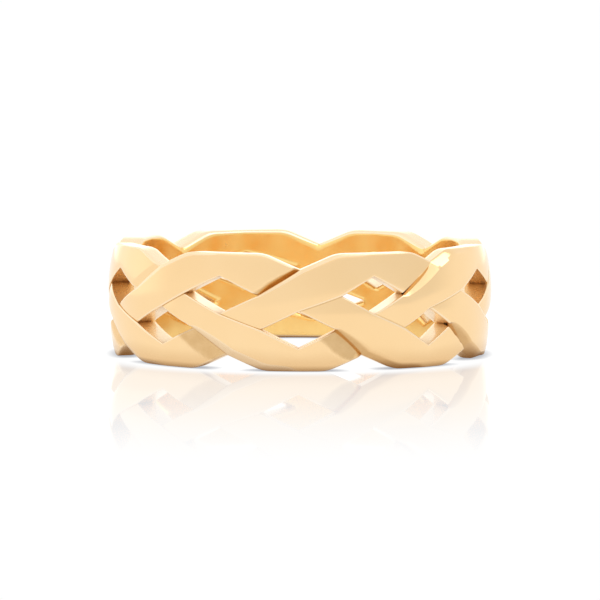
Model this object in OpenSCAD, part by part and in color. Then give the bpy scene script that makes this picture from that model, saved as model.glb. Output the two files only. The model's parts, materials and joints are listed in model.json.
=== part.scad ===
// A finger ring cast in one piece and carved as a flat plait of three strands.
// All lengths are millimetres. The ring lies on its side: the bore runs along Z and
// the lower rim rests on Z = 0, centred on the origin. The plait is one strand that
// goes three times round and closes on itself, so the ring has no ends and no seam.

/* [Band] */
// Inside diameter, the hole for the finger
bore_diameter = 17.3; // [14:0.1:22]
// Metal between the bore and the crown of the strands
band_thickness = 1.5; // [1.3:0.05:2]
// Width of the band from rim to rim
band_width = 6; // [5.4:0.1:8]
// Radius of the crown across the faces of the strands
crown_radius = 12.5; // [8:0.5:30]
// Bevel on the outer corner of each rim
rim_bevel = 0.2; // [0.05:0.05:0.3]
// Bevel on the two corners of the bore
bore_bevel = 0.15; // [0.05:0.05:0.3]

/* [Plait] */
// Metal between the tips of two neighbouring piercings in a row
crossing_length = 3.9; // [3.4:0.1:4.3]
// Metal between a piercing and the rim beside it
rim_strand = 1.17; // [0.9:0.01:1.5]
// Height that the upper and the lower row of piercings share
row_overlap = 0.18; // [0.06:0.02:0.3]
// Depth of the valley between two arches
valley_depth = 0.8; // [0.5:0.05:1]
// Width of the valley at the rim
valley_width = 3.7; // [3.2:0.1:4.2]
// Radius of the turn from an arch's flat top into the valley
arch_turn_radius = 2; // [1:0.1:3]

/* [Weave] */
// Depth to which a strand dips before it passes under the next
dip_depth = 0.35; // [0.15:0.05:0.5]
// Length of the slope down into that dip
dip_run = 0.45; // [0.3:0.05:0.7]
// Height of the step where a strand comes out again
step_depth = 0.08; // [0.04:0.02:0.16]
// Length of the slope up from that step
step_run = 0.4; // [0.3:0.05:0.7]

/* [Hidden] */
$fn = 180;
gold = [0.96, 0.79, 0.52];
bore_radius = bore_diameter / 2;
face_radius = bore_radius + band_thickness;
mid_height = band_width / 2;

// The plait is spaced by eye, a little tighter on one side, with one long arch behind
// where the band was closed. Each value is the turn from one crossing to the next as a
// share of the mean, anticlockwise from the front. Crossings lie by turns in the upper
// and the lower row, and the first is an upper one.
spacing_shares = [
    0.96, 1.08, 0.96, 1.00, 0.87, 0.92, 0.79, 1.12,
    1.32, 1.04, 0.94, 0.87, 1.11, 0.93, 1.10, 0.99
];
crossing_count = len(spacing_shares);

crossing_half_angle = crossing_length / 2 / face_radius * 180 / PI;
piercing_half_height = (mid_height - rim_strand + row_overlap / 2) / 2;
piercing_level = piercing_half_height - row_overlap / 2;
valley_floor = mid_height - valley_depth;

// Cutters reach this far past the metal, so that no two faces coincide
cut_past = 1;
// The side of an over strand stands this far outside the line between the tips
side_lap = 0.03;
cutter_start = bore_radius - cut_past;
cutter_length = band_thickness + 2 * cut_past;
arch_turn_steps = 3;

function share_sum(count) = count == 0 ? 0 : spacing_shares[count - 1] + share_sum(count - 1);

// Angle of a crossing, which may be counted on past the last one or back past the first
function crossing_angle(k) =
    k < 0 ? crossing_angle(k + crossing_count) - 360 :
    k >= crossing_count ? crossing_angle(k - crossing_count) + 360 :
    360 * share_sum(k) / share_sum(crossing_count);

// A piercing lies midway between the two crossings of its own row
function piercing_angle(k) = (crossing_angle(k - 1) + crossing_angle(k + 1)) / 2;
function piercing_half_length(k) =
    let (half_turn = (crossing_angle(k + 1) - crossing_angle(k - 1)) / 2)
    face_radius * sin(half_turn - crossing_half_angle);

// Radius of the crowned face at a height above or below mid-height
function crown(z) = face_radius - crown_radius + sqrt(crown_radius ^ 2 - z ^ 2);

// A point of the crowned face, from [angle, height], with angle 0 at the front
function face_point(at) = [
    crown(at[1]) * sin(at[0]),
    -crown(at[1]) * cos(at[0]),
    at[1]
];

// Right half of a valley's outline, from its floor up one flank and round the turn.
// The turn is an arc of flat facets, tangent to the flank and to the rim, and its last
// facet runs on through the rim.
function valley_flank() =
    let (
        slope = atan2(valley_depth, valley_width / 2),
        tangent = arch_turn_radius * tan(slope / 2),
        centre = [valley_width / 2 + tangent, mid_height - arch_turn_radius],
        turn = [
            for (k = [0 : arch_turn_steps])
                let (a = 90 + slope * (1 - k / arch_turn_steps))
                centre + arch_turn_radius * [cos(a), sin(a)]
        ],
        through_rim = 2 * turn[arch_turn_steps] - turn[arch_turn_steps - 1]
    )
    [for (k = [0 : arch_turn_steps - 1]) turn[k], through_rim];

function mirrored(points) = [for (k = [len(points) - 1 : -1 : 0]) [-points[k][0], points[k][1]]];

// Turns a flat outline, drawn as seen from the front, to stand on the band's face
module stand_on_face() {
    rotate([90, 0, 0]) children();
}

// The plain ring before it is carved, about mid-height
module band_blank() {
    rotate_extrude()
        difference() {
            intersection() {
                translate([face_radius - crown_radius, 0]) circle(r = crown_radius);
                translate([bore_radius, -mid_height]) square([band_thickness + cut_past, band_width]);
            }
            for (side = [-1, 1]) {
                translate([bore_radius, side * mid_height])
                    rotate(45) square(bore_bevel * sqrt(2), center = true);
                translate([crown(mid_height), side * mid_height])
                    rotate(45) square(rim_bevel * sqrt(2), center = true);
            }
        }
}

// A four-sided piercing of the lower row, cut straight through towards the bore
module piercing(half_length) {
    stand_on_face()
        translate([0, -piercing_level, cutter_start])
            linear_extrude(height = cutter_length)
                polygon([
                    [-half_length, 0],
                    [0, -piercing_half_height],
                    [half_length, 0],
                    [0, piercing_half_height]
                ]);
}

// The valley between two arches, cut straight through the upper rim
module valley() {
    flank = valley_flank();
    top = flank[arch_turn_steps];
    stand_on_face()
        translate([0, 0, cutter_start])
            linear_extrude(height = cutter_length)
                polygon(concat(
                    [[0, valley_floor]],
                    flank,
                    [[top[0], top[1] + cut_past]],
                    [[-top[0], top[1] + cut_past]],
                    mirrored(flank)
                ));
}

// A straight wedge along the edge of an over strand, from one end of the crossing to
// the other. Its upright wall is the strand's side, and its slope runs out to the left.
module wedge_along(start, end, depth, run) {
    a = face_point(start);
    b = face_point(end);
    along = (b - a) / norm(b - a);
    middle = (a + b) / 2;
    radial = [middle[0], middle[1], 0];
    out = radial - (radial * along) * along;
    outward = out / norm(out);
    left = cross(outward, along);
    bulge = face_radius * (1 - cos((end[0] - start[0]) / 2));
    origin = middle + outward * bulge / 2;
    past = run;
    multmatrix([
        [along[0], left[0], outward[0], origin[0]],
        [along[1], left[1], outward[1], origin[1]],
        [along[2], left[2], outward[2], origin[2]],
        [0, 0, 0, 1]
    ])
        rotate([90, 0, 90])
            linear_extrude(height = norm(b - a) + 2 * past, center = true)
                polygon([
                    [side_lap, -depth],
                    [side_lap + run, 0],
                    [side_lap + 2 * run, depth],
                    [side_lap, depth]
                ]);
}

// At an upper crossing, the strand that rises to the right lies over the one that
// falls. The lower strand dips along the left of the upper one.
module dip(k) {
    left_tip = [crossing_angle(k) - crossing_half_angle, piercing_level];
    top = [crossing_angle(k), valley_floor];
    wedge_along(left_tip, top, dip_depth, dip_run);
}

// It comes out again along the right of the upper strand, a small step lower
module step(k) {
    right_tip = [crossing_angle(k) + crossing_half_angle, piercing_level];
    bottom = [piercing_angle(k), row_overlap / 2];
    wedge_along(right_tip, bottom, step_depth, step_run);
}

// Every second crossing is the same thing upside down
module in_row_of(k) {
    if (k % 2 == 0) {
        children();
    } else {
        mirror([0, 0, 1]) children();
    }
}

// The band with its piercings and its wavy rims, still smooth-faced
module pierced_band() {
    difference() {
        band_blank();
        for (k = [0 : crossing_count - 1]) {
            in_row_of(k) rotate(piercing_angle(k)) piercing(piercing_half_length(k));
            in_row_of(k) rotate(crossing_angle(k)) valley();
        }
    }
}

// The whole ring, which is one cast piece
module braided_band() {
    color(gold)
        translate([0, 0, mid_height])
            difference() {
                pierced_band();
                for (k = [0 : crossing_count - 1]) {
                    in_row_of(k) dip(k);
                    in_row_of(k) step(k);
                }
            }
}

braided_band();
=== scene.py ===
# %% [markdown]
# # A braided band ring
#
# The ring is one casting in yellow gold, carved as a flat plait of three strands. It lies
# on its side on a pale glossy sheet, as a ring rests by itself. There is one piece to
# make, and everything that catches the eye is in its surface: flat strands with crisp
# edges, a groove where one strand dives under the next, a small step where it comes out,
# and sixteen piercings that show the bore, where light bouncing between gold walls makes the
# gold look deeper; that deeper colour is painted into the bore.
#
# The construction model already holds the true sizes. It comes in first as a fixed frame,
# and the sizes of everything below are read from it or follow from it.

# %% Load the frame
import json
import math

import bmesh
import bpy
import numpy as np
from mathutils import Matrix, Vector


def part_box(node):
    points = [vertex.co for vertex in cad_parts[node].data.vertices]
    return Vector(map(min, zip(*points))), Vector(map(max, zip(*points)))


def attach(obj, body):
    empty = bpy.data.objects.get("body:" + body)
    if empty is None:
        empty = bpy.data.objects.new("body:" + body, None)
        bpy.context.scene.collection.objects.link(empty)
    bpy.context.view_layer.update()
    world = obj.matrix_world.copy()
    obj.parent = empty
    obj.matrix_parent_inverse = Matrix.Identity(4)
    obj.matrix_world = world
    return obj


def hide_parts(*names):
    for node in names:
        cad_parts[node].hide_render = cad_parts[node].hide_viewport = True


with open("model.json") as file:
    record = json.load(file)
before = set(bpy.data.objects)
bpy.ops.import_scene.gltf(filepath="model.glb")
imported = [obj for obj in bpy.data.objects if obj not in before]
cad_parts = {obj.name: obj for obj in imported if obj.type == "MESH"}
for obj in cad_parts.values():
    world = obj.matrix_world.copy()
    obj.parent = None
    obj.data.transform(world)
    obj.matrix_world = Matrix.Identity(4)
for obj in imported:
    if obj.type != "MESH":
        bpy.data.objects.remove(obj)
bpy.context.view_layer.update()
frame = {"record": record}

# %% [markdown]
# ## Sizes
#
# All lengths below are millimetres, and they turn into metres once, when the mesh is made.
# The outside size comes from the frame's box and the bore from its mount. The sizes of the
# plait can't be read from a box, so they are named again here. The spacing table is the
# ring's own rhythm: it was spaced by eye, and behind there is one long arch where the band
# was closed.

# %% Sizes of the band and the plait
MM = 0.001
lowest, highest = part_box("braided_band")
mounts = {mount["name"]: mount for mount in frame["record"]["mounts"]}
band_width = (highest.z - lowest.z) / MM
face_radius = (highest.x - lowest.x) / 2 / MM
bore_radius = mounts["finger_bore"]["dims"]["r_mm"]
mid_height = band_width / 2

crown_radius = 12.5        # roundness of the band's face from rim to rim
crossing_length = 3.9      # metal between the tips of neighbouring piercings in a row
rim_strand = 1.17          # metal between a piercing and the rim beside it
row_overlap = 0.18         # height that the two rows of piercings share
valley_depth = 0.8         # depth of the valley between two arches of the rim
valley_width = 3.7
arch_turn_radius = 2.0     # turn from an arch's flat top into the valley

# turn from each crossing to the next, as a share of the mean, anticlockwise from the front
spacing_shares = np.array([
    0.96, 1.08, 0.96, 1.00, 0.87, 0.92, 0.79, 1.12,
    1.32, 1.04, 0.94, 0.87, 1.11, 0.93, 1.10, 0.99,
])
crossing_count = len(spacing_shares)

# where single crossings differ, by their number: how far the crossing or its valley stands to
# the right, how much longer its metal is on the right (1) or the left (-1), how much wider the
# arch's strand is above the piercing, and the valley's size as a share of the usual one
crossing_shifts = {3: -0.45}
valley_shifts = {1: -0.43, 2: -0.30, 3: -0.75}
longer_metal = {(0, -1): 0.275, (0, 1): 0.275, (2, -1): 0.50, (3, -1): 0.60}
lower_tips = {6: 0.16, 8: 0.16}
valley_scales = {2: 0.75}
print(f"band {band_width:.2f} wide, face radius {face_radius:.2f}, bore radius {bore_radius:.2f}")

# %% [markdown]
# ## The plan of the plait
#
# Unroll the band and the plait is a simple repeat. Crossings lie by turns in an upper and
# a lower row, and above each lower crossing there is a piercing of the upper row. One arch
# of the rim is one stretch of strand: it comes out from under the strand before, rises over
# crossing k, runs along the rim, falls, and dives under the strand that goes over crossing
# k + 2. Even arches stand on the upper rim, and odd ones are the same thing upside down.

# %% Angles of crossings and piercings
crossing_turns = 2 * np.pi * np.cumsum(np.append(0, spacing_shares))[:-1] / spacing_shares.sum()
piercing_half_height = (mid_height - rim_strand + row_overlap / 2) / 2
piercing_level = piercing_half_height - row_overlap / 2
piercing_tip = piercing_level + piercing_half_height
valley_floor = mid_height - valley_depth


def crossing_angle(k):
    """Angle of crossing k from the front. Numbers past the last or before the first go on round."""
    shift = crossing_shifts.get(k % crossing_count, 0) / face_radius
    return crossing_turns[k % crossing_count] + shift + 2 * np.pi * (k // crossing_count)


def valley_angle(k):
    """Angle of the foot of the valley beside crossing k."""
    return crossing_angle(k) + valley_shifts.get(k % crossing_count, 0) / face_radius


def valley_scale(k):
    """Size of the valley beside crossing k, as a share of the usual one."""
    return valley_scales.get(k % crossing_count, 1)


def valley_foot(k):
    """Height of the foot of the valley beside crossing k."""
    return mid_height - valley_scale(k) * valley_depth


def tip_angle(k, way):
    """Angle where the metal of crossing k ends, on its right (way 1) or its left (way -1)."""
    length = crossing_length / 2 + longer_metal.get((k % crossing_count, way), 0)
    return crossing_angle(k) + way * length / face_radius


def piercing_angle(k):
    """The piercing beside crossing k lies midway between the metal on either side of it."""
    return (tip_angle(k - 1, 1) + tip_angle(k + 1, -1)) / 2


def piercing_half_length(k):
    """Half the chord that is left between the metal of the crossings on either side."""
    return face_radius * np.sin((tip_angle(k + 1, -1) - tip_angle(k - 1, 1)) / 2)


def crown(z):
    """Radius of the band's face at height z: a circle of crown_radius, highest at mid-height."""
    return face_radius - crown_radius + np.sqrt(crown_radius ** 2 - z ** 2)


def blend(start, end, share):
    """Straight mix: start at share 0, end at share 1."""
    return start + (end - start) * share


print("crossings at", np.degrees(crossing_turns).round(1), "degrees")

# %% [markdown]
# ## A grid that follows the strand
#
# Each arch is one grid, u along the strand and v across it. It could be a plain sheet with
# the details cut in by booleans, but a polished surface shows every stray triangle as a
# dent. So the grid lines run with the metal: rows crowd together where an edge is rounded
# and where the strand dives, and neighbouring arches share the same points.
#
# u runs through four stretches: 0 to 1 beside the lower piercing, 1 to 2 over the crossing,
# 2 to 3 up the rim, 3 to 4 down to the dive. Over the crossing, u is spaced just as v is,
# because there the neighbours' ends lie along this strand's sides.

# %% Spacing of the grid lines
edge_share = 0.05      # share of the strand's width that its rounded edge takes
edge_rows = 5
face_rows = 13
long_lines = 19        # grid lines beside the lower piercing, and as many up the rim
dive_lines = 31
step_crowding = 1.4    # power that draws the lines together where the strand comes out
dive_crowding = 1.6    # and where it dives
rise_of_rows = 1 - np.cos(np.linspace(0, np.pi / 2, edge_rows + 1))


def across(share_b, share_a):
    """Lines across a strand, 0 at its B side and 1 at its A side. Each edge's lines are spaced
    as a quarter circle seen from above, and the face between them is spaced evenly."""
    b, a = np.asarray(share_b)[..., None], np.asarray(share_a)[..., None]
    flat = np.linspace(0, 1, face_rows + 1)[1:-1]
    return np.concatenate(
        [b * rise_of_rows, b + (1 - a - b) * flat, 1 - a * rise_of_rows[::-1]], axis=-1
    )


beside_piercing = np.linspace(0, 1, long_lines) ** step_crowding
over_crossing = across(edge_share, edge_share)
up_the_rim = np.linspace(0, 1, long_lines)
to_the_dive = 1 - np.linspace(1, 0, dive_lines) ** dive_crowding
stretches = [beside_piercing, over_crossing, up_the_rim, to_the_dive]
u = np.concatenate([stretches[0]] + [n + s[1:] for n, s in enumerate(stretches[1:], start=1)])
q1, q2, q3, q4 = np.cumsum([len(s) - 1 for s in stretches])
print(f"grid of one arch: {len(u)} x {len(over_crossing)} points")

# %% [markdown]
# ## The sides of a strand
#
# A piercing is sawn straight in, so its walls don't point at the ring's axis: they are
# parallel to the line through the piercing's middle. Each point of a side is therefore kept
# as four columns: the turn of that line, how far it leans to it, the sideways offset from
# it, and the height. At any radius R the point's angle is turn + lean * asin(offset / R),
# which gives the same straight wall on the face, in the bore and in between.

# %% Sides of one arch
flank_share = 0.62     # share of half an arch that its valley flank and turn take


def side_line(turn, lean, offset, height):
    """The four columns of a side, one row for each line of the grid."""
    columns = [np.asarray(c, float) for c in (turn, lean, offset, height)]
    return np.stack(np.broadcast_arrays(*columns), axis=-1)


def angle_on(side, radius):
    """Angle of a side's points at that radius: turn + lean * asin(offset / radius)."""
    return side[:, 0] + side[:, 1] * np.arcsin(side[:, 2] / radius)


rim_slope = math.atan2(valley_depth, valley_width / 2)
turn_end = valley_width / 2 + arch_turn_radius * math.tan(rim_slope / 2)
turn_reach = arch_turn_radius * math.sin(rim_slope)


def rim_height(offset):
    """Height of the rim beside a valley: a straight flank, then an arc tangent to the flat top."""
    from_end = np.clip(turn_end - offset, 0, turn_reach)
    arc = mid_height - arch_turn_radius + np.sqrt(arch_turn_radius ** 2 - from_end ** 2)
    return np.where(offset < turn_end - turn_reach, valley_floor + offset * math.tan(rim_slope), arc)


def rim_side(k, share, way):
    """Half an arch's rim, from valley k (share 0) to the arch's middle (share 1). way is 1 for
    the half right of the valley and -1 for the half left of it."""
    offset = turn_end * np.clip(share / flank_share, 0, 1)
    level = np.clip((share - flank_share) / (1 - flank_share), 0, 1)
    turn = blend(valley_angle(k), piercing_angle(k + way), level)
    height = mid_height - valley_scale(k) * (mid_height - rim_height(offset))
    return side_line(turn, 1 - level, way * valley_scale(k) * offset, height)


def side_a(k):
    """The side towards the rim: along the piercing before, over the crossing, then the rim."""
    turn, length = piercing_angle(k - 1), piercing_half_length(k - 1)
    first, second, third, fourth = stretches
    parts = [
        side_line(turn, 1, length * first, blend(-row_overlap / 2, piercing_level, first)),
        side_line(blend(turn, valley_angle(k), second), 1 - second, length,
                  blend(piercing_level, valley_foot(k), second)),
        rim_side(k, third, 1),
        rim_side(k + 2, 1 - fourth, -1),
    ]
    return np.concatenate([parts[0]] + [part[1:] for part in parts[1:]])


def side_b(k):
    """The side away from the rim: the lower piercing, the crossing, and round the upper one."""
    low, high = piercing_angle(k), piercing_angle(k + 1)
    low_length, high_length = piercing_half_length(k), piercing_half_length(k + 1)
    tip = piercing_tip - lower_tips.get(k, 0)
    first, second, third, fourth = stretches
    parts = [
        side_line(low, 1, low_length * (first - 1),
                  blend(-piercing_level, row_overlap / 2, first)),
        side_line(blend(low, high, second), second, -high_length,
                  blend(row_overlap / 2, piercing_level, second)),
        side_line(high, 1, high_length * (third - 1), blend(piercing_level, tip, third)),
        side_line(high, 1, high_length * fourth, blend(tip, piercing_level, fourth)),
    ]
    return np.concatenate([parts[0]] + [part[1:] for part in parts[1:]])


print("rim flank", round(math.degrees(rim_slope), 1), "degrees, flat from offset", round(turn_end, 2))

# %% [markdown]
# ## Dips, steps and rounded edges
#
# This is where the plait gets its depth. Before it goes under, a strand falls away along
# the side of the strand above: the groove is a short slope whose foot is that side. Where it
# comes out again there is only a small step. The maker cut each groove by hand, so they
# differ, and the table gives one row to each crossing. The first five values are the
# groove's: its depth, its run (the width of its slope), how much of both is left at the
# piercing's tip and of the run at the rim, and how softly the slope begins (1 is a sharp
# start). Then comes how much painted shade its slope gets: a brown mixed into the colour for
# the shade and dim reflections that a groove shows, which also makes it rougher. The last two
# are the bevel that was filed along the upper strand's edge: its depth and its run.

# %% Table of the grooves
groove_columns = ("depth", "run", "tip", "rim", "crease", "dull", "bevel", "bevel_run")
groove_rows = [
    (0.34, 0.34, 0.45, 0.80, 1.10, 0.45, 0.04, 0.10),   # upper row, the front
    (0.36, 1.00, 0.95, 0.30, 1.05, 0.45, 0.20, 0.30),
    (0.50, 0.14, 0.95, 0.95, 1.10, 0.10, 0.33, 0.38),
    (0.68, 0.20, 0.90, 0.90, 1.20, 0.50, 0.48, 0.48),
    (0.35, 0.35, 0.50, 0.80, 1.20, 0.55, 0.05, 0.10),
    (0.30, 0.85, 0.90, 0.35, 1.10, 0.40, 0.14, 0.35),
    (0.36, 0.42, 0.60, 0.80, 1.20, 0.45, 0.06, 0.12),
    (0.30, 0.80, 0.90, 0.40, 1.10, 0.40, 0.10, 0.30),
    (0.35, 0.36, 0.45, 0.80, 1.15, 0.60, 0.05, 0.10),   # upper row, the back
    (0.32, 0.90, 0.95, 0.35, 1.10, 0.42, 0.14, 0.34),
    (0.50, 0.30, 0.85, 0.90, 1.20, 0.10, 0.28, 0.42),
    (0.34, 0.60, 0.80, 0.50, 1.20, 0.40, 0.08, 0.20),
    (0.34, 0.38, 0.50, 0.80, 1.20, 0.55, 0.05, 0.10),
    (0.32, 0.70, 0.85, 0.50, 1.20, 0.40, 0.08, 0.20),
    (0.12, 0.40, 0.90, 0.70, 1.40, 0.00, 0.02, 0.15),
    (0.14, 1.00, 0.95, 0.25, 1.05, 0.50, 0.05, 0.40),
]
grooves = dict(zip(groove_columns, np.array(groove_rows).T))
print(len(groove_rows), "grooves,", grooves["depth"].min(), "to", grooves["depth"].max(), "deep")

# %% Heights of the face
step_depth = 0.085     # how far below the upper strand a strand comes out
step_run = 1.2
step_line = 0.07       # width of the painted shadow line in the step's corner
line_rise = 1.5        # the painted shadow is full for the first third of that width
# painted shade in a step's corner line and on the step's wall
step_painted_shade = 0.40
pillow = 0.03          # roundness of each strand across its own width

# along a groove, from the piercing's tip (0) to the rim (1): how much of its depth and of its
# run is there. At the tip both start from the row's own value
depth_along = [(0.3, 1), (0.8, 1), (1, 0.85)]
run_along = [(0.3, 1), (0.6, 0.95), (0.85, 0.7), (1, 0)]
groove_shade_rise = 7   # how fast the painted shade comes in as the groove falls


def quarter_round(share):
    """Depth of a rounded edge as a share: 1 at the wall, 0 where the face begins, a quarter
    circle between."""
    left = np.clip(1 - share, 0, 1)
    return 1 - np.sqrt(1 - left ** 2)


def hump(t, power=0.5):
    """Half a sine wave from t = 0 to 1, made blunter by a power under 1."""
    return np.sin(np.pi * np.clip(t, 0, 1)) ** power


def beside(angle, z, start, end):
    """Distance to the left of the line from start to end on the unrolled band, and how far
    along it the nearest point lies, from 0 to 1."""
    run = (face_radius * (end[0] - start[0]), end[1] - start[1])
    length = math.hypot(*run)
    dx, dz = face_radius * (angle - start[0]), z - start[1]
    away = (run[0] * dz - run[1] * dx) / length
    return away, np.clip((run[0] * dx + run[1] * dz) / length ** 2, 0, 1)


def groove(k):
    """The row of crossing k, by the names of the columns."""
    return {name: values[k % crossing_count] for name, values in grooves.items()}


def along_groove(share, at_tip, steps):
    """Straight lines from at_tip at the piercing's tip through the (place, value) steps."""
    places, values = zip((0, at_tip), *steps)
    return np.interp(share, places, values)


def dive_depth(k, angle, z):
    """The slope into the groove of crossing k, and its painted shade: deepest at the upper strand's
    side, and gone at the groove's run. The run is widest between the tip and the rim."""
    row = groove(k)
    tip = (tip_angle(k, -1), piercing_level)
    away, share = beside(angle, z, tip, (valley_angle(k), valley_foot(k)))
    strength = along_groove(share, row["tip"], depth_along)
    run = row["run"] * np.maximum(along_groove(share, row["tip"], run_along), row["rim"])
    fall = strength * np.clip(1 - away / run, 0, 1) ** row["crease"]
    return row["depth"] * fall, row["dull"] * np.clip(fall * groove_shade_rise, 0, 1)


def emerge_depth(k, angle, z):
    """The small step beside crossing k - 1: deepest at the step, easing out along the strand,
    with a painted shadow line in its corner."""
    start = (piercing_angle(k - 1), -row_overlap / 2)
    away, _ = beside(angle, z, start, (tip_angle(k - 1, 1), -piercing_level))
    line = step_painted_shade * np.clip(line_rise - line_rise * away / step_line, 0, 1)
    return step_depth * (1 - np.clip(away / step_run, 0, 1)) ** 2, line


# %% [markdown]
# The face of an arch is the crowned band with these depths taken off. The bore is the same
# grid laid on the bore's radius: there the crossings are one smooth wall, so only the
# piercings and the rims have rounded edges. They are rounded far more than outside, to sit
# softly on the finger, and at a piercing's tip the rounding runs out as a small cone.

# %% Face of one arch
edge_depth = 0.05      # rounding of a strand's edge
step_edge_less = 0.02  # an edge that stands over a step is rounded this much less
step_edge_start, step_edge_reach = 0.8, 1.4   # where along u it does
rim_depth = 0.06       # rounding of the rim
rim_share = 0.045      # share of the strand's width that it takes
along_rim = hump((u - 2) / 2)   # 0 up to the end of the crossing, and 1 at the arch's middle
bevel_start = 0.95     # where along u a bevel starts, just before the crossing
bevel_reach = 2.0      # how far it runs: over the crossing and up the rim's flank
bevel_power = 0.4      # a low power brings it to its full depth soon
full_bevel = 0.1       # a bevel this deep gets as much painted shade as its groove
bevel_shade_rise = 3    # how fast its painted shade comes in as it falls
falls_from = 2.5       # grid lines past this may fall to the next groove
rises_until = 1.5      # grid lines before this may rise from the step


def face_of(k):
    """Points of arch k's face as angle, radius and height, with its mask of painted shade."""
    a, b, row = side_a(k), side_b(k), groove(k)
    angle_a, angle_b = angle_on(a, crown(a[:, 3])), angle_on(b, crown(b[:, 3]))
    strand_width = np.hypot(face_radius * (angle_a - angle_b), a[:, 3] - b[:, 3])
    filed = hump((u - bevel_start) / bevel_reach, bevel_power)
    round_a = blend(edge_share, rim_share, along_rim)
    share_a = round_a + filed * row["bevel_run"] / strand_width
    share_b = np.full_like(u, edge_share)
    depth_a = blend(edge_depth, rim_depth, along_rim)
    depth_b = edge_depth - step_edge_less * hump((u - step_edge_start) / step_edge_reach)
    v = across(share_b, share_a)
    z = blend(b[:, 3:], a[:, 3:], v)
    angle = blend(angle_b[:, None], angle_a[:, None], v)
    falling, rising = (u > falls_from)[:, None], (u < rises_until)[:, None]
    dive, dull = dive_depth(k + 2, angle, z)
    # the step, and the painted shadow line in its corner
    step, line = emerge_depth(k, angle, z)
    bevel = filed[:, None] * np.clip(1 - (1 - v) / share_a[:, None], 0, 1)
    radius = (crown(z) + pillow * (1 - (2 * v - 1) ** 2) - row["bevel"] * bevel
              - depth_b[:, None] * quarter_round(v / share_b[:, None])
              - depth_a[:, None] * quarter_round((1 - v) / round_a[:, None])
              - dive * falling - step * rising)
    on_b, on_a = angle_on(b, radius[:, 0]), angle_on(a, radius[:, -1])
    angle = blend(on_b[:, None], on_a[:, None], v)
    # a filed bevel gets painted shade, as much as its groove's once it is deep
    bevel_painted_shade = (row["dull"] * np.clip(row["bevel"] / full_bevel, 0, 1)
                  * np.clip(bevel_shade_rise * bevel, 0, 1))
    return angle, radius, z, np.clip(dull * falling + line * rising + bevel_painted_shade, 0, 1)


def placed(angle, radius, z, k):
    """Points in space from angle, radius and height, with odd arches upside down."""
    z = z if k % 2 == 0 else -z
    return np.stack([radius * np.sin(angle), -radius * np.cos(angle), z + mid_height], axis=-1)


faces = [face_of(k) for k in range(crossing_count)]
face_points = [placed(angle, radius, z, k) for k, (angle, radius, z, dull) in enumerate(faces)]
face_painted_shade = [dull for angle, radius, z, dull in faces]
face_radii = np.stack([radius for angle, radius, z, dull in faces])
print(f"face radius from {face_radii.min():.2f} to {face_radii.max():.2f}")

# %% Bore of one arch
bore_edge = 0.42         # rounding of the edges in the bore, towards the face
bore_edge_share = 0.17   # the same across the strand, at the piercings
bore_rim_share = 0.12    # and at the rims


def bore_of(k):
    """Points of arch k's part of the bore as angle, radius and height."""
    a, b = side_a(k), side_b(k)
    v = across(np.full_like(u, edge_share), blend(edge_share, bore_rim_share, along_rim))
    round_a = blend(bore_edge_share, bore_rim_share, along_rim)[:, None]
    edge_radius = bore_radius + bore_edge
    angle = blend(angle_on(b, edge_radius)[:, None], angle_on(a, edge_radius)[:, None], v)
    rise = bore_edge * (quarter_round(v / bore_edge_share) + quarter_round((1 - v) / round_a))
    along, over = over_crossing[:, None], v[q1:q2 + 1]
    corners = [np.hypot(s, t) for s in (along, 1 - along) for t in (over, 1 - over)]
    cones = sum(quarter_round(corner / bore_edge_share) for corner in corners)
    rise[q1:q2 + 1] = bore_edge * cones
    return angle, bore_radius + rise, blend(b[:, 3:], a[:, 3:], v)


bore_points = [placed(*bore_of(k), k) for k in range(crossing_count)]
print(f"bore radius {bore_radius:.2f}, and {bore_radius + bore_edge:.2f} at its rounded edges")

# %% [markdown]
# ## Walls
#
# Walls join the bore to the face along the piercings and the rims. Where a piercing's corner
# is shared by two strands, one of them ends lower, so every wall has the same rows: some up
# to the lower strand's edge, and some above it for the upper one. Where a strand is the
# lower one itself, the upper rows fold to nothing and vanish when the mesh is sewn. The
# grooves and the steps get walls too, from the lower strand up to the upper one's edge.

# %% Walls of the piercings, rims, grooves and steps
low_rows = 3
step_rows = 2
rim_rush = 6                  # how fast a rim's wall gives up its upper rows past a crossing
corner_painted_shade = 0.6             # painted shade in a piercing's corners, which also makes them rougher
wide_bevel = 0.12             # a bevel deeper than this is a facet of the face
FACE, BORE, EDGE = 0, 1, 2    # finishes; the walls of piercings and rims get the edges' one


def wall(bottom, top, low):
    """Rows from the bore to the face. low is the share of the height at which the lower rows
    end, for each column of the wall."""
    low = low[:, None]
    rows = [blend(bottom, top, low * n / low_rows) for n in range(low_rows + 1)]
    rows += [blend(bottom, top, blend(low, 1, n / step_rows)) for n in range(1, step_rows + 1)]
    return np.stack(rows, axis=1)


def share_up(bottom, top, point):
    """How far up the line from bottom to top the point lies."""
    return np.linalg.norm(point - bottom) / np.linalg.norm(top - bottom)


def finish_with_edges(inner, over, filed):
    """The inner finish, with the rounded edges finished as the walls are. Over the crossing the
    edges get the finish called over, and a filed bevel gets the inner one."""
    finish = np.full((q4, len(over_crossing) - 1), inner)
    finish[:, :edge_rows], finish[:, -edge_rows:] = EDGE, EDGE
    finish[q1:q2, :edge_rows], finish[q1:q2, -edge_rows:] = over, over
    if filed:
        finish[q1:q3, -edge_rows:] = inner
    return finish


sheets = []     # each: points of a grid, whether it is turned over, finish, painted shade


def add_sheet(points, turned, finish, dull):
    """Keep one surface. A single finish or amount of painted shade is spread over all of it."""
    rows, columns = points.shape[:2]
    sheets.append((points, turned, np.broadcast_to(finish, (rows - 1, columns - 1)),
                   np.broadcast_to(dull, (rows, columns))))


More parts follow.
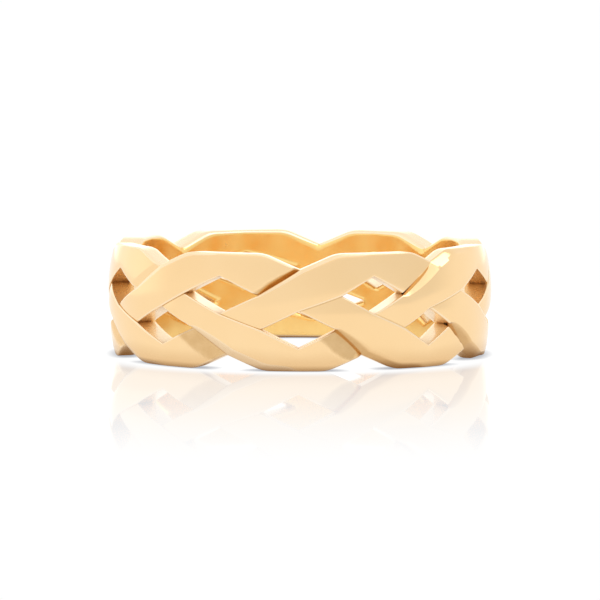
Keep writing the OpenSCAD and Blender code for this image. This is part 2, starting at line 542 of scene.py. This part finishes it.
def add_arch(k):
    """The face, bore and walls of one arch, and its walls towards the strands under it."""
    face, bore, odd = face_points[k], bore_points[k], k % 2 == 1
    dived = face_points[(k - 2) % crossing_count][-1]
    risen = face_points[(k + 1) % crossing_count][0]
    filed = grooves["bevel"][k] > wide_bevel
    add_sheet(face, odd, finish_with_edges(FACE, EDGE, filed), face_painted_shade[k])
    add_sheet(bore, not odd, finish_with_edges(BORE, BORE, False), 0.0)
    low_a = [share_up(bore[q, -1], face[q, -1], dived[end]) for q, end in ((q1, 0), (q2, -1))]
    low_b = [share_up(bore[q, 0], face[q, 0], risen[end]) for q, end in ((q1, -1), (q2, 0))]
    # first and last grid line, share of the height at both, side, and how fast it changes
    for first, last, low_first, low_last, side, rush in (
        (0, q1, 1, low_b[0], 0, 1), (q2, q3, low_b[1], 1, 0, 1), (q3, q4, 1, 1, 0, 1),
        (0, q1, 1, low_a[0], -1, 1), (q2, q4, low_a[1], 1, -1, rim_rush),
    ):
        place = np.linspace(0, 1, last - first + 1)
        share = 1 - (1 - place) ** rush
        bottom, top = bore[first:last + 1, side], face[first:last + 1, side]
        on_rim = (first, last, side) == (q2, q4, -1)
        # painted shade in the corners of the piercings' walls, none on the rims
        corners = corner_painted_shade * (1 - hump(place))[:, None]
        add_sheet(wall(bottom, top, blend(low_first, low_last, share)), odd != (side == -1),
                  EDGE, 0.0 if on_rim else corners)
    up = np.linspace(0, 1, step_rows + 1)[None, :, None]
    # the walls of a groove and of a step get painted shade too
    groove_painted_shade = grooves["dull"][k]
    add_sheet(blend(dived[:, None], face[q1:q2 + 1, -1][:, None], up), not odd, FACE, groove_painted_shade)
    add_sheet(blend(risen[::-1][:, None], face[q1:q2 + 1, 0][:, None], up), odd, FACE, step_painted_shade)


for k in range(crossing_count):
    add_arch(k)
face_total = sum(finish.size for points, turned, finish, dull in sheets)
print(len(sheets), "surfaces with", face_total, "faces")

# %% [markdown]
# ## Sewing
#
# All surfaces go into one mesh, and points that lie on each other are merged. The rows that
# folded to nothing disappear in the same step. What is left has to be one closed skin with
# its faces outwards. So the open edges are counted, and the volume is measured, which comes
# out above zero only when the faces look outwards.

# %% Sew the surfaces into one mesh
sew_distance = 0.0005 * MM
sharp_corner = 32      # a corner of more degrees than this is shaded as a sharp one


def into_scene(name, data):
    """A new object of the scene that shows the data."""
    made = bpy.data.objects.new(name, data)
    bpy.context.scene.collection.objects.link(made)
    return made


def grid_faces(rows, columns, start, turned):
    """Four-sided faces of a grid whose points are numbered from start, row by row."""
    index = start + np.arange(rows * columns).reshape(rows, columns)
    quads = np.stack([index[:-1, :-1], index[1:, :-1], index[1:, 1:], index[:-1, 1:]], axis=-1)
    quads = quads.reshape(-1, 4)
    return quads[:, ::-1] if turned else quads


def sewn(name, surfaces):
    """One mesh object from the surfaces, with the finish of each face and the mask of painted shade.
    """
    grids, turned, finishes, masks = zip(*surfaces)
    points = np.concatenate([grid.reshape(-1, 3) for grid in grids]) * MM
    finish = np.concatenate([part.reshape(-1) for part in finishes])
    dull = np.concatenate([mask.reshape(-1) for mask in masks])
    starts = np.cumsum([0] + [mask.size for mask in masks])
    quads = np.concatenate([
        grid_faces(*mask.shape, start, over) for mask, start, over in zip(masks, starts, turned)])
    mesh = bpy.data.meshes.new(name)
    mesh.from_pydata(points, [], quads)
    mesh.polygons.foreach_set("material_index", finish.astype(np.int32))
    # the mask of painted shade, which the gold shaders read
    layer = mesh.attributes.new("dull", "FLOAT", "CORNER")
    layer.data.foreach_set("value", dull[quads.reshape(-1)].astype(np.float32))
    shape = bmesh.new()
    shape.from_mesh(mesh)
    bmesh.ops.remove_doubles(shape, verts=shape.verts, dist=sew_distance)
    open_edges = sum(not edge.is_manifold for edge in shape.edges)
    volume = shape.calc_volume(signed=True) / MM ** 3
    shape.to_mesh(mesh)
    shape.free()
    mesh.polygons.foreach_set("use_smooth", np.ones(len(mesh.polygons), bool))
    mesh.set_sharp_from_angle(angle=math.radians(sharp_corner))
    mesh.update()
    triangles = sum(len(face.vertices) - 2 for face in mesh.polygons)
    print(f"{name}: {triangles} triangles, {open_edges} open edges, {volume:.1f} mm3")
    return into_scene(name, mesh)


band = sewn("plaited_band", sheets)

# %% [markdown]
# ## Gold
#
# Fourteen carat gold is a metal shader with a warm colour, and most of what we see is its
# surroundings. What makes it look worked and not computed is small: the polisher's wheel
# leaves slow waves, fine hairlines run two ways, and the tone drifts a little. The floors of
# the grooves, the steps, the filed bevels and the piercings' corners get a painted brown
# shade, which also makes them rougher. Two node groups hold these, and each finish gives them
# its own values: the polished face; the bore, painted a deeper yellow for the light that
# bounces between its gold walls; and the rougher gold of the edges and the sawn walls,
# painted paler for the cream highlights that they catch.

# %% Node helpers
def new_group(name, inputs, outputs):
    """An empty shader group with the named sockets, and its two end nodes."""
    group = bpy.data.node_groups.new(name, "ShaderNodeTree")
    for socket, kind, value in inputs:
        made = group.interface.new_socket(socket, in_out="INPUT", socket_type=kind)
        made.default_value = value
    for socket, kind in outputs:
        group.interface.new_socket(socket, in_out="OUTPUT", socket_type=kind)
    return group, group.nodes.new("NodeGroupInput"), group.nodes.new("NodeGroupOutput")


def node(tree, kind, links=None, **settings):
    """A node with its settings, and with inputs set to a value or linked to a socket."""
    made = tree.nodes.new(kind)
    for name, value in settings.items():
        setattr(made, name, value)
    for name, value in (links or {}).items():
        if isinstance(value, bpy.types.NodeSocket):
            tree.links.new(value, made.inputs[name])
        else:
            made.inputs[name].default_value = value
    return made


def math_node(tree, operation, first, second):
    """The output of one sum on two values or sockets."""
    return node(tree, "ShaderNodeMath", {0: first, 1: second}, operation=operation).outputs[0]


def carried(tree, value, start, end, smooth=False):
    """The value carried over from the range start to the range end, and held at both ends."""
    inputs = {"Value": value, "From Min": start[0], "From Max": start[1],
              "To Min": end[0], "To Max": end[1]}
    kind = "SMOOTHSTEP" if smooth else "LINEAR"
    return node(tree, "ShaderNodeMapRange", inputs, interpolation_type=kind).outputs[0]


def mixed_colour(tree, share, first, second, **settings):
    """A mix of two colours: the first at share 0, the second at share 1."""
    inputs = {0: share, "A": first, "B": second}
    return node(tree, "ShaderNodeMix", inputs, data_type="RGBA", **settings).outputs["Result"]


# %% Wheel marks
wave_length, wave_height = 1.6 * MM, 0.004 * MM
hair_width, hair_height = 0.08 * MM, 0.0002 * MM
hair_turns = ((0.4, 0.9, 0.2), (1.3, -0.3, 1.0))   # the two ways that the hairlines run
hair_stretch = (1.0, 0.06, 0.06)                   # small numbers draw them out long


def wheel_marks_group():
    """Height of the surface in metres: slow waves from the wheel and fine hairlines."""
    group, given, out = new_group(
        "wheel_marks",
        [("Wave Length", "NodeSocketFloat", wave_length),
         ("Wave Height", "NodeSocketFloat", wave_height),
         ("Hair Width", "NodeSocketFloat", hair_width),
         ("Hair Height", "NodeSocketFloat", hair_height)],
        [("Height", "NodeSocketFloat")],
    )
    place = node(group, "ShaderNodeTexCoord").outputs["Object"]
    waves_per_metre = math_node(group, "DIVIDE", 1.0, given.outputs["Wave Length"])
    waves = node(group, "ShaderNodeTexNoise",
                 {"Vector": place, "Scale": waves_per_metre, "Detail": 1.0}).outputs[0]
    hairs_per_metre = math_node(group, "DIVIDE", 1.0, given.outputs["Hair Width"])
    height = math_node(group, "MULTIPLY", waves, given.outputs["Wave Height"])
    for turn in hair_turns:
        stretched = node(group, "ShaderNodeMapping",
                         {"Vector": place, "Rotation": turn, "Scale": hair_stretch}).outputs[0]
        hairs = node(group, "ShaderNodeTexNoise",
                     {"Vector": stretched, "Scale": hairs_per_metre, "Detail": 2.0}).outputs[0]
        lift = math_node(group, "MULTIPLY", hairs, given.outputs["Hair Height"])
        height = math_node(group, "ADD", height, lift)
    group.links.new(height, out.inputs["Height"])
    return group


wheel_marks = wheel_marks_group()
print("wheel marks:", len(wheel_marks.nodes), "nodes")

# %% Tone of the gold
drift_scale = 260.0        # the tone drifts over a few millimetres
smear_scale = 1800.0       # and the gloss over half a millimetre
# the brown of the painted shade in grooves, steps, bevels and corners
painted_shade_colour = (0.46, 0.24, 0.06, 1)
dull_roughness = 0.2       # roughness that the full mask of painted shade adds
patchy_from, patchy_to = (0.3, 0.7), (0.75, 1.1)       # the smear makes the painted shade patchy
cloudy_from, cloudy_to = (0.3, 0.75), (0.85, 1.25)     # and the gloss cloudy


def gold_tone_group():
    """Colour and roughness: a clean gold drifting towards a deeper one, with a painted brown shade
    mixed in by a mask that also makes it rougher.
    """
    group, given, out = new_group(
        "gold_tone",
        [("Clean", "NodeSocketColor", (0.95, 0.71, 0.38, 1)),
         ("Deep", "NodeSocketColor", (0.92, 0.66, 0.33, 1)),
         ("Dull", "NodeSocketColor", painted_shade_colour),
         ("Dullness", "NodeSocketFloat", 0.0), ("Gloss Roughness", "NodeSocketFloat", 0.1)],
        [("Colour", "NodeSocketColor"), ("Roughness", "NodeSocketFloat")],
    )
    place = node(group, "ShaderNodeTexCoord").outputs["Object"]
    drift = node(group, "ShaderNodeTexNoise",
                 {"Vector": place, "Scale": drift_scale, "Detail": 3.0}).outputs[0]
    smear = node(group, "ShaderNodeTexNoise",
                 {"Vector": place, "Scale": smear_scale, "Detail": 4.0}).outputs[0]
    tone = mixed_colour(group, drift, given.outputs["Clean"], given.outputs["Deep"])
    patchy = carried(group, smear, patchy_from, patchy_to)
    painted_shade_share = math_node(group, "MULTIPLY", given.outputs["Dullness"], patchy)
    worn = mixed_colour(group, painted_shade_share, tone, given.outputs["Dull"])
    cloudy = carried(group, smear, cloudy_from, cloudy_to)
    rough = math_node(group, "MULTIPLY", given.outputs["Gloss Roughness"], cloudy)
    rough = math_node(group, "ADD", rough, math_node(group, "MULTIPLY", painted_shade_share, dull_roughness))
    group.links.new(worn, out.inputs["Colour"])
    group.links.new(rough, out.inputs["Roughness"])
    return group


gold_tone = gold_tone_group()
print("gold tone:", len(gold_tone.nodes), "nodes")


# %% Three finishes
def gold_finish(name, roughness, waves, hairs, clean, deep):
    """A gold metal whose colour, roughness and height come from the two groups. waves and hairs
    are the heights of the wheel's waves and of the hairlines."""
    material = bpy.data.materials.new(name)
    material.use_nodes = True
    tree = material.node_tree
    shader = tree.nodes["Principled BSDF"]
    shader.inputs["Metallic"].default_value = 1.0
    # the mask of painted shade, as the mesh carries it
    dull = node(tree, "ShaderNodeAttribute", attribute_name="dull").outputs["Fac"]
    tone = node(tree, "ShaderNodeGroup",
                {"Clean": clean, "Deep": deep, "Dullness": dull, "Gloss Roughness": roughness},
                node_tree=gold_tone)
    marks = node(tree, "ShaderNodeGroup", {"Wave Height": waves, "Hair Height": hairs},
                 node_tree=wheel_marks)
    bump = node(tree, "ShaderNodeBump",
                {"Height": marks.outputs["Height"], "Strength": 1.0, "Distance": 1.0})
    tree.links.new(tone.outputs["Colour"], shader.inputs["Base Color"])
    tree.links.new(tone.outputs["Roughness"], shader.inputs["Roughness"])
    tree.links.new(bump.outputs["Normal"], shader.inputs["Normal"])
    return material


# in the order of FACE, BORE and EDGE
finishes = [
    gold_finish("gold_face", roughness=0.13, waves=0.004 * MM, hairs=0.00015 * MM,
                clean=(0.96, 0.70, 0.40, 1), deep=(0.92, 0.635, 0.325, 1)),
    # the deeper, more orange yellow is painted: it stands for the light that bounces between the
    # bore's gold walls
    gold_finish("gold_bore", roughness=0.22, waves=0.009 * MM, hairs=0.0003 * MM,
                clean=(0.98, 0.70, 0.28, 1), deep=(0.94, 0.61, 0.21, 1)),
    # the paler colour is a painted highlight, for the cream that edges and walls catch; their higher
    # roughness is their own
    gold_finish("gold_edge", roughness=0.26, waves=0.006 * MM, hairs=0.0005 * MM,
                clean=(0.96, 0.765, 0.52, 1), deep=(0.94, 0.71, 0.44, 1)),
]
for finish in finishes:
    band.data.materials.append(finish)

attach(band, "root")
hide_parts("braided_band")
print("finishes", [finish.name for finish in finishes])

# %% [markdown]
# ## The sheet it lies on
#
# A pale glossy sheet carries a soft mirror image of the ring that fades a short way out.
# It is a plain disc. Its shader mixes a glowing white with a mirror. The mirror starts just
# outside the ring, and its share falls with the distance, so it fades in every direction
# alike. Only the eye sees the mirror. Round the ring, shade is painted into the glow: a thin
# grey contact shadow for the eye, and for the metal a dark contact line and a wider warm
# shade, as gold light comes back from a sheet beside gold.

# %% Floor
floor_radius = 900.0
mirror_near, mirror_far = 10.0, 52.0     # from the ring's axis, where it starts to fade and is gone
mirror_share = 0.38
mirror_roughness = 0.03
mirror_within = 2.5                      # it comes in over this distance beside the ring
contact_reach = 0.5                      # reach of the painted contact shadow where metal meets the sheet
# colours of the painted contact shadow, as the eye and as the metal see it
contact_by_eye = (0.42, 0.43, 0.47)
contact_by_metal = (0.28, 0.16, 0.05)
shade_reach = 3.5                        # reach of the wider warm painted shade that the metal reflects
# colour of the warm painted shade that the metal sees
shade_by_metal = (0.64, 0.50, 0.36)
floor_tone = 1.05                        # brightness of the sheet as the metal sees it
seen_white = 1.01                        # and of the sheet and the tent as the eye sees them
round_steps = 96


def floor_disc():
    """A flat disc of triangles round the ring's axis, at the height that the ring rests on."""
    turn = np.linspace(0, 2 * np.pi, round_steps, endpoint=False)
    edge = floor_radius * np.stack([np.cos(turn), np.sin(turn), np.zeros(round_steps)], axis=-1)
    points = np.concatenate([[[0.0, 0.0, 0.0]], edge]) * MM
    step = np.arange(round_steps)
    triangles = np.stack([np.zeros(round_steps, int), 1 + step, 1 + (step + 1) % round_steps], -1)
    mesh = bpy.data.meshes.new("floor")
    mesh.from_pydata(points, [], triangles)
    return into_scene("floor", mesh)


def shade(tree, reach, darkest):
    """A painted shade: a colour that is white in the open and darkest where metal within reach covers
    it.
    """
    near = node(tree, "ShaderNodeAmbientOcclusion", {"Distance": reach * MM}, samples=8)
    return mixed_colour(tree, near.outputs["AO"], (*darkest, 1), (1, 1, 1, 1))


def floor_finish():
    """A sheet that glows white, so that it has no hard shadows. The eye sees it white, with a
    mirror image of what is near and a thin painted contact shadow; the metal sees it without the
    mirror, with a dark contact line and a warm shade painted round the ring."""
    material = bpy.data.materials.new("pale_sheet")
    material.use_nodes = True
    tree = material.node_tree
    tree.nodes.remove(tree.nodes["Principled BSDF"])
    by_eye = node(tree, "ShaderNodeLightPath").outputs["Is Camera Ray"]
    by_metal = mixed_colour(tree, 1.0, shade(tree, shade_reach, shade_by_metal),
                            shade(tree, contact_reach, contact_by_metal), blend_type="MULTIPLY")
    seen = mixed_colour(tree, by_eye, by_metal, shade(tree, contact_reach, contact_by_eye))
    strength = carried(tree, by_eye, (0.0, 1.0), (floor_tone, seen_white))
    glow = node(tree, "ShaderNodeEmission", {"Color": seen, "Strength": strength})
    mirror = node(tree, "ShaderNodeBsdfGlossy",
                  {"Color": (1, 1, 1, 1), "Roughness": mirror_roughness})
    place = node(tree, "ShaderNodeTexCoord").outputs["Object"]
    away = node(tree, "ShaderNodeVectorMath", {0: place}, operation="LENGTH").outputs["Value"]
    fading = carried(tree, away, (mirror_near * MM, mirror_far * MM), (mirror_share, 0.0), smooth=True)
    beyond = carried(tree, away, (face_radius * MM, (face_radius + mirror_within) * MM),
                     (0.0, 1.0), smooth=True)
    share = math_node(tree, "MULTIPLY", math_node(tree, "MULTIPLY", fading, by_eye), beyond)
    mixed = node(tree, "ShaderNodeMixShader",
                 {0: share, 1: glow.outputs[0], 2: mirror.outputs[0]})
    tree.links.new(mixed.outputs[0], tree.nodes["Material Output"].inputs["Surface"])
    return material


floor = floor_disc()
floor.data.materials.append(floor_finish())
print("floor of", len(floor.data.polygons), "triangles")

# %% [markdown]
# ## Studio light
#
# Jewellery is photographed in a white tent: light comes from everywhere, and the metal shows
# soft tones and not hard lamps. The world is that tent. It could be one even white, but then
# the face would look flat, so it is a little brighter on the left and high up in front, and
# brightest straight behind, where the rims look. One soft box up on the right draws the white
# in the facets that look that way.

# %% The tent
left_tone, right_tone = 1.08, 0.94
panel_tone = 1.5                       # how much brighter it is straight behind

# along y, where -1 is straight in front and 1 straight behind
panel_edge, panel_full = 0.80, 0.97    # where that brightness begins and is full
front_end, back_start = -0.15, 0.35    # the front's tones go over into the back's between these

# tones over the height of a direction, from the horizon (0) to overhead (1)
front_tones = [(0.0, 0.98), (0.25, 0.96), (0.45, 0.96), (0.60, 1.1), (0.80, 1.25), (1.0, 1.15)]
back_tones = [(0.0, 1.12), (0.25, 1.10), (0.42, 1.12), (0.80, 1.05), (1.0, 1.05)]


def tone_ramp(tree, value, tones):
    """A grey that follows the (value, tone) pairs with straight lines between them."""
    ramp = node(tree, "ShaderNodeValToRGB", {"Fac": value})
    elements = ramp.color_ramp.elements
    while len(elements) < len(tones):
        elements.new(0.5)
    for element, (position, tone) in zip(elements, tones):
        element.position = position
        element.color = (tone, tone, tone, 1)
    return ramp.outputs["Color"]


def studio_world():
    """The tent: one ramp of tones over the height of a direction for the front half, one for
    the back half, and a soft change between them. The eye itself sees plain white."""
    world = bpy.data.worlds.new("tent")
    world.use_nodes = True
    tree = world.node_tree
    way = node(tree, "ShaderNodeTexCoord").outputs["Generated"]
    parts = node(tree, "ShaderNodeSeparateXYZ", {"Vector": way})
    x, y, z = (parts.outputs[axis] for axis in "XYZ")
    behind = carried(tree, y, (front_end, back_start), (0.0, 1.0), smooth=True)
    tent = mixed_colour(tree, behind, tone_ramp(tree, z, front_tones), tone_ramp(tree, z, back_tones))
    sideways = carried(tree, x, (-1.0, 1.0), (left_tone, right_tone))
    panel = carried(tree, y, (panel_edge, panel_full), (1.0, panel_tone), smooth=True)
    by_metal = math_node(tree, "MULTIPLY", sideways, panel)
    by_eye = node(tree, "ShaderNodeLightPath").outputs["Is Camera Ray"]
    seen = mixed_colour(tree, by_eye, tent, (1, 1, 1, 1))
    strength = node(tree, "ShaderNodeMix", {0: by_eye, 2: by_metal, 3: seen_white}).outputs[0]
    background = tree.nodes["Background"]
    tree.links.new(seen, background.inputs["Color"])
    tree.links.new(strength, background.inputs["Strength"])
    bpy.context.scene.world = world


studio_world()
bpy.context.scene.view_settings.view_transform = "Standard"
print("tent with", len(front_tones), "tones in front and", len(back_tones), "behind")

# %% Soft box
overhead_place = (95, 0, 198)     # up and to the right
overhead_size = (90, 110)
overhead_radiance = 1.4           # beside about 1 for the tent


def soft_box(name, place, size, radiance):
    """An area light that faces the ring. Its power is radiance * pi * area."""
    light = bpy.data.lights.new(name, "AREA")
    light.shape = "RECTANGLE"
    light.size, light.size_y = size[0] * MM, size[1] * MM
    light.energy = radiance * math.pi * light.size * light.size_y
    made = into_scene(name, light)
    made.location = Vector(place) * MM
    towards = Vector((0, 0, mid_height)) * MM - made.location
    made.rotation_euler = towards.to_track_quat("-Z", "Y").to_euler()
    return made


overhead = soft_box("overhead", overhead_place, overhead_size, overhead_radiance)
print(f"soft box of {overhead.data.energy:.3f} W")

# %% [markdown]
# ## Camera
#
# A long lens from just under five degrees above. Its distance, height and aim were worked out
# from the ring's outline, from how far the near rim covers the far one, and from where the
# feet of the arches stand.

# %% Camera
sensor_width = 36.0
camera_distance = 241.0
camera_elevation = 4.83
camera_roll = 0.125
pixels_per_mm = 18.82      # at the ring, in a picture 600 pixels wide
picture_width = 600
ring_centre_pixel = (299.8, 296.9)


def make_camera():
    """A camera on a circle round the ring's centre, aimed so that the centre falls on its
    pixel."""
    data = bpy.data.cameras.new("camera")
    data.sensor_width = sensor_width
    data.lens = sensor_width * pixels_per_mm * camera_distance / picture_width
    data.clip_start, data.clip_end = 0.01, 10.0
    made = into_scene("camera", data)
    tilt = math.radians(camera_elevation)
    centre = Vector((0, 0, mid_height))
    back = Vector((0, -math.cos(tilt), math.sin(tilt)))
    right_shift = (picture_width / 2 - ring_centre_pixel[0]) / pixels_per_mm
    up_shift = (ring_centre_pixel[1] - picture_width / 2) / pixels_per_mm
    aim = centre + Vector((right_shift, 0, up_shift))
    made.location = (centre + back * camera_distance) * MM
    look = (aim * MM - made.location).to_track_quat("-Z", "Y")
    made.matrix_world = (Matrix.Translation(made.location) @ look.to_matrix().to_4x4()
                         @ Matrix.Rotation(math.radians(camera_roll), 4, "Z"))
    bpy.context.scene.camera = made
    return made


camera = make_camera()
print(f"lens {camera.data.lens:.1f} mm")
